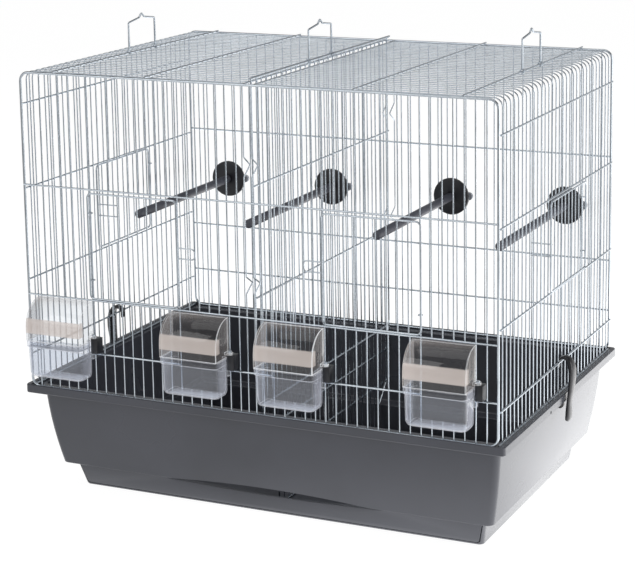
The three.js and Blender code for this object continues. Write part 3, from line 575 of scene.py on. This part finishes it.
def curl(centre, radius, axis, turns=1.0, steps=14):
    """Points of a ring of wire round an axis."""
    points = []
    for k in range(int(steps * turns)):
        a = 2 * math.pi * k / steps
        u, v = radius * math.cos(a), radius * math.sin(a)
        offset = (u, 0, v) if axis == "Y" else (u, v, 0)
        points.append(tuple(c + o for c, o in zip(centre, offset)))
    return points


BAIL_WIDE, BAIL_WIRE, CURL_WIRE = 61.6, 1.2, 0.8
for name, x, y, z, ring in (
    ("left", -246, -27.6, 506, 2.5),
    ("middle", 0, -39.4, RAIL, 2.9),
    ("right", 251, -16, 506, 2.5),
):
    gable = ((0, ring), (0, 36), (0.4, 39.5), (0.5, 44.5), (0.6, 39.5), (1, 36), (1, ring))
    handle = [(BAIL_WIRE, bent([(x, y + BAIL_WIDE * u, z + v) for u, v in gable], 2), False)]
    handle += [(CURL_WIRE, curl((x, y + u, z), ring, "Y"), True) for u in (0, BAIL_WIDE)]
    stands_for(wires("handle_" + name, handle), "zinc_wire", zinc, "bail_" + name)

# ---------------------------------------------------------------- doors
# Wire doors in a round-cornered frame. Two rings round a panel upright are the hinge. The front doors close
# with a sprung wire loop, the side doors with two prongs that reach inward.
DOOR_OUT = 3.3


def door_runs(on, s, near, far, low, high, bars):
    mid = (near + far) / 2
    corners = [(mid, low), (far, low), (far, high), (near, high), (near, low), (mid, low)]
    runs = [(CROSS, bent([on(u * s, z, DOOR_OUT) for u, z in corners], 5)[:-1], True)]
    return runs + [(THIN, [on(u * s, low, DOOR_OUT), on(u * s, high, DOOR_OUT)], False) for u in bars]


for name, s in (("left", -1), ("right", 1)):
    runs = door_runs(on_front, s, 89, 203.8, 247, 369.5, [upright(k) for k in range(7, 15)])
    loop = [on_front(u * s, z, DOOR_OUT) for u, z in ((89, 304), (67, 304), (67, 316), (89, 316))]
    runs.append((THIN, bent(loop, 4), False))
    runs += [(0.7, curl(on_front(202 * s, z), 2.2, "Z"), True) for z in (268, 346)]
    stands_for(wires("nest_door_" + name, runs), "zinc_wire", zinc, "front_door_" + name)
for name, on in (("left", on_left), ("right", on_right)):
    runs = door_runs(on, 1, -37, 88, 262.6, 365, [side_upright(j) for j in range(14, 23)])
    for z in (302, 316):
        prong = [on(-37, z, DOOR_OUT), on(-32.5, z, DOOR_OUT), on(-32.5, z, -21.5)]
        runs.append((THIN, bent(prong, 1.5), False))
    runs += [(0.7, curl(on(side_upright(23), z), 2.2, "Z"), True) for z in (282, 346)]
    stands_for(wires("end_door_" + name, runs), "zinc_wire", zinc, "side_door_" + name)

# ---------------------------------------------------------------- perches
# A grey plastic rod with a black disc at its foot. Its stud goes out between two back wires to a wing nut.
perch_grey = moulded_plastic("polypropylene_perch_grey", "4a4b54", "54565f", (0.35, 0.5), 1.2, 0.35)
nut_grey = moulded_plastic("polypropylene_pale_grey", "a9acb4", "b6b9c0", (0.35, 0.45), 0.9, 0.15)
for n in range(1, 5):
    bar = moulded(f"perch_rod_{n}", f"perch_bar_{n}", 0.4, 40)
    stands_for(bar, "perch_plastic", perch_grey, f"perch_rod_{n}")
    stop = moulded(f"perch_disc_{n}", f"perch_stop_{n}", 0.4, 30)
    stands_for(stop, "black_plastic", black_nylon, f"perch_disc_{n}")
    nut = moulded(f"perch_nut_{n}", f"wing_nut_{n}", 0.5, 40)
    stands_for(nut, "nut_plastic", nut_grey, f"perch_nut_{n}")

# ---------------------------------------------------------------- feeders
# Clear polystyrene: a cup with a flanged rim under a round-fronted hood, hung on a black block at its right.


def clear_plastic(name, tint, painted_light_share, painted_light_color, painted_reflection=None):
    """Clear moulded polystyrene: see-through and glossy. Painted light: a faintly glowing milky white,
    strongest where a wall is seen along its length, stands in for the light the walls refract.
    """
    m = new_material(name)
    place = add_node(m, "ShaderNodeTexCoord")
    flow = add_node(m, "ShaderNodeTexNoise", [(place.outputs["Object"], "Vector")], Scale=70.0, Detail=2.0)
    bump = add_node(m, "ShaderNodeBump", [(flow.outputs[0], "Height")], Strength=0.06, Distance=0.0005)
    through = add_node(m, "ShaderNodeBsdfTransparent", Color=hex_color(tint))
    white = add_node(m, "ShaderNodeBsdfDiffuse", Color=hex_color(painted_light_color))
    behind = add_node(m, "ShaderNodeBsdfTranslucent", Color=hex_color(painted_light_color))
    thick = add_node(m, "ShaderNodeMixShader", [(white.outputs[0], 1), (behind.outputs[0], 2)], Fac=0.5)
    # painted glow: the milky white gives off a little light of its own
    painted_glow = add_node(m, "ShaderNodeEmission", Color=hex_color(painted_light_color), Strength=0.3)
    painted_milky_light = add_node(m, "ShaderNodeAddShader", [(thick.outputs[0], 0), (painted_glow.outputs[0], 1)])
    # painted highlight: the share of milky white rises as a wall turns edge-on
    edge_on = add_node(m, "ShaderNodeLayerWeight", Blend=0.5)
    rise = add_node(m, "ShaderNodeMath", [(edge_on.outputs["Facing"], 0)], operation="POWER")
    rise.inputs[1].default_value = 3.0
    share = add_node(m, "ShaderNodeMapRange", [(rise.outputs[0], "Value")])
    share.inputs["To Min"].default_value, share.inputs["To Max"].default_value = painted_light_share
    amount = share.outputs[0]
    # painted reflection: a band of the same glowing milky white at a fixed height
    if painted_reflection:
        split = add_node(m, "ShaderNodeSeparateXYZ", [(place.outputs["Object"], 0)])
        low, high, front, cover = painted_reflection
        inside = []
        limits = (("Z", low - 0.6, low + 0.6), ("Z", high + 0.6, high - 0.6), ("Y", front, front - 1))
        for axis, start, end in limits:
            edge = add_node(m, "ShaderNodeMapRange", [(split.outputs[axis], "Value")])
            edge.inputs["From Min"].default_value = start * MM
            edge.inputs["From Max"].default_value = end * MM
            inside.append(edge.outputs[0])
        two = add_node(m, "ShaderNodeMath", [(inside[0], 0), (inside[1], 1)], operation="MULTIPLY")
        three = add_node(m, "ShaderNodeMath", [(two.outputs[0], 0), (inside[2], 1)], operation="MULTIPLY")
        reflection_mask = add_node(m, "ShaderNodeMath", [(three.outputs[0], 0)], operation="MULTIPLY")
        reflection_mask.inputs[1].default_value = cover
        top = add_node(m, "ShaderNodeMath", [(amount, 0), (reflection_mask.outputs[0], 1)], operation="MAXIMUM")
        amount = top.outputs[0]
    body = add_node(m, "ShaderNodeMixShader", [(amount, 0), (through.outputs[0], 1), (painted_milky_light.outputs[0], 2)])
    shine = add_node(m, "ShaderNodeBsdfGlossy", [(bump.outputs[0], "Normal")], Roughness=0.06)
    fresnel = add_node(m, "ShaderNodeFresnel", [(bump.outputs[0], "Normal")], IOR=1.59)
    face = add_node(m, "ShaderNodeNewGeometry")
    sides = [(face.outputs["Backfacing"], "Value"), (fresnel.outputs[0], "To Min")]
    outer = add_node(m, "ShaderNodeMapRange", sides)
    outer.inputs["To Max"].default_value = 0.0
    layers = [(outer.outputs[0], 0), (body.outputs[0], 1), (shine.outputs[0], 2)]
    surface = add_node(m, "ShaderNodeMixShader", layers)
    return finish_material(m, surface)


# A painted reflection low on each hood: a glowing milky band that stands in for a soft box mirrored in the
# clear plastic. Its lower and upper edge, the depth it starts at, and how much it covers.
HOOD_PAINTED_REFLECTION = (206.5, 223.5, -221, 0.55)
cup_clear = clear_plastic("polystyrene_clear_cup", "f4f6f9", (0.035, 0.85), "dfe0e8")
# the hood's cream tint colours its painted reflection and its painted edge light
hood_clear = clear_plastic("polystyrene_clear_hood", "f6f8fa", (0.02, 0.85), "d6ccc6", HOOD_PAINTED_REFLECTION)
# painted highlight: the rounded edges of the clear mouldings turn a mostly milky white that glows faintly
glint = clear_plastic("polystyrene_clear_painted_edge_highlight", "ffffff", (0.75, 0.95), "f8fafc")
for n in range(1, 5):
    cup = moulded(f"feeder_cup_{n}", f"seed_cup_{n}", 0.6, 30, 2, (cup_clear, glint))
    stands_for(cup, "clear_plastic", None, f"feeder_cup_{n}")
    hood = moulded(f"feeder_hood_{n}", f"seed_hood_{n}", 0.6, 30, 2, (hood_clear, glint))
    stands_for(hood, "clear_plastic", None, f"feeder_hood_{n}")
    block = moulded(f"feeder_hinge_block_{n}", f"feeder_mount_{n}", 0.4, 30)
    stands_for(block, "black_plastic", black_nylon, f"feeder_hinge_block_{n}")
    pin = moulded(f"feeder_hinge_pin_{n}", f"feeder_pivot_{n}", 0.15, 40)
    stands_for(pin, "zinc_wire", zinc, f"feeder_hinge_pin_{n}")

# ---------------------------------------------------------------- floor, light and camera
# A white sweep that glows, brightest behind and to the right, under a dim sky and plain soft boxes. The
# camera sees the sweep as white, and the floor keeps a faint shadow.
bpy.ops.object.select_all(action="DESELECT")
bpy.ops.mesh.primitive_plane_add(size=12, location=(0, 0, 0))
floor = bpy.context.object
floor.name = "studio_floor"
sweep = new_material("white_sweep")
path = add_node(sweep, "ShaderNodeLightPath")
camera_ray = path.outputs["Is Camera Ray"]
spot = add_node(sweep, "ShaderNodeNewGeometry")
towards = add_node(sweep, "ShaderNodeVectorMath", [(spot.outputs["Position"], 0)], operation="DOT_PRODUCT")
towards.inputs[1].default_value = (0.4, 0.9, 0)
ramp = add_node(sweep, "ShaderNodeMapRange", [(towards.outputs["Value"], "Value")])
ramp.inputs["From Min"].default_value, ramp.inputs["From Max"].default_value = -0.25, 0.2
ramp.inputs["To Min"].default_value, ramp.inputs["To Max"].default_value = 0.95, 2.7
away = add_node(sweep, "ShaderNodeVectorMath", [(spot.outputs["Position"], 0)], operation="LENGTH")
fade = add_node(sweep, "ShaderNodeMapRange", [(away.outputs["Value"], "Value")])
fade.inputs["From Min"].default_value, fade.inputs["From Max"].default_value = 0.6, 1.7
fade.inputs["To Min"].default_value, fade.inputs["To Max"].default_value = 1.0, 0.35
table = add_node(sweep, "ShaderNodeMath", [(ramp.outputs[0], 0), (fade.outputs[0], 1)], operation="MULTIPLY")
strength = add_node(sweep, "ShaderNodeMapRange", [(camera_ray, "Value"), (table.outputs[0], "To Min")])
strength.inputs["To Max"].default_value = 1.26
share = add_node(sweep, "ShaderNodeMapRange", [(camera_ray, "Value")])
share.inputs["To Min"].default_value, share.inputs["To Max"].default_value = 0.9, 0.75
lit = add_node(sweep, "ShaderNodeBsdfDiffuse", Color=hex_color("f4f4f4"))
glow = add_node(sweep, "ShaderNodeEmission", [(strength.outputs[0], "Strength")], Color=(1, 1, 1, 1))
layers = [(share.outputs[0], 0), (lit.outputs[0], 1), (glow.outputs[0], 2)]
finish_material(sweep, add_node(sweep, "ShaderNodeMixShader", layers))
floor.data.materials.append(sweep)

world = bpy.data.worlds.new("studio")
bpy.context.scene.world = world
world.use_nodes = True
world.node_tree.nodes.clear()
path = add_node(world, "ShaderNodeLightPath")
white = add_node(
    world,
    "ShaderNodeMath",
    [(path.outputs["Is Camera Ray"], 0), (path.outputs["Is Transmission Ray"], 1)],
    operation="MAXIMUM",
)
sky_place = add_node(world, "ShaderNodeTexCoord")
sky_split = add_node(world, "ShaderNodeSeparateXYZ", [(sky_place.outputs["Generated"], 0)])
height = add_node(world, "ShaderNodeMapRange", [(sky_split.outputs["Z"], "Value")])
height.inputs["From Min"].default_value, height.inputs["From Max"].default_value = 0.05, 0.5
height.inputs["To Min"].default_value, height.inputs["To Max"].default_value = 0.7, 0.16
level = add_node(world, "ShaderNodeMapRange", [(white.outputs[0], "Value"), (height.outputs[0], "To Min")])
level.inputs["To Max"].default_value = 1.0
sky = add_node(world, "ShaderNodeBackground", [(level.outputs[0], "Strength")], Color=(1, 1, 1, 1))
add_node(world, "ShaderNodeOutputWorld", [(sky.outputs[0], "Surface")])


def soft_box(name, at, aim, width, height, power):
    """A rectangular diffused lamp that faces a point."""
    lamp = bpy.data.lights.new(name, "AREA")
    lamp.shape, lamp.size, lamp.size_y, lamp.energy = "RECTANGLE", width, height, power
    box = bpy.data.objects.new(name, lamp)
    bpy.context.scene.collection.objects.link(box)
    box.location = at
    box.rotation_euler = (Vector(aim) - Vector(at)).to_track_quat("-Z", "Y").to_euler()
    return box


soft_box("top_box", (0, -0.3, 2.2), (0, 0, 0.2), 2.2, 1.8, 12)
soft_box("front_box", (-1.2, -2.2, 1.3), (0, 0, 0.25), 1.4, 1.4, 10)
soft_box("right_box", (2.0, 0.4, 0.5), (0, 0, 0.15), 0.9, 1.6, 16)

# The camera was fitted to the wires: focal length and width of the picture in its pixels, and its place.
FOCAL_PX, PICTURE_PX, SENSOR = 1945.0, 635, 36
CAMERA_AT = (0.9642, -2.0366, 0.8191)
yaw, pitch, roll = math.radians(24.319), math.radians(10.258), math.radians(-0.682)
right = Vector((math.cos(yaw), math.sin(yaw), 0))
behind = Vector((math.sin(yaw) * math.cos(pitch), -math.cos(yaw) * math.cos(pitch), math.sin(pitch)))
up = behind.cross(right)
rolled_right = right * math.cos(roll) + up * math.sin(roll)
rolled_up = up * math.cos(roll) - right * math.sin(roll)
camera_data = bpy.data.cameras.new("camera")
camera_data.lens, camera_data.sensor_width = FOCAL_PX / PICTURE_PX * SENSOR, SENSOR
camera_data.shift_x, camera_data.shift_y = -0.0649, -0.2375
camera = bpy.data.objects.new("camera", camera_data)
bpy.context.scene.collection.objects.link(camera)
turn = Matrix((rolled_right, rolled_up, behind)).transposed().to_4x4()
camera.matrix_world = Matrix.Translation(CAMERA_AT) @ turn
bpy.context.scene.camera = camera
bpy.context.scene.view_settings.view_transform = "Standard"
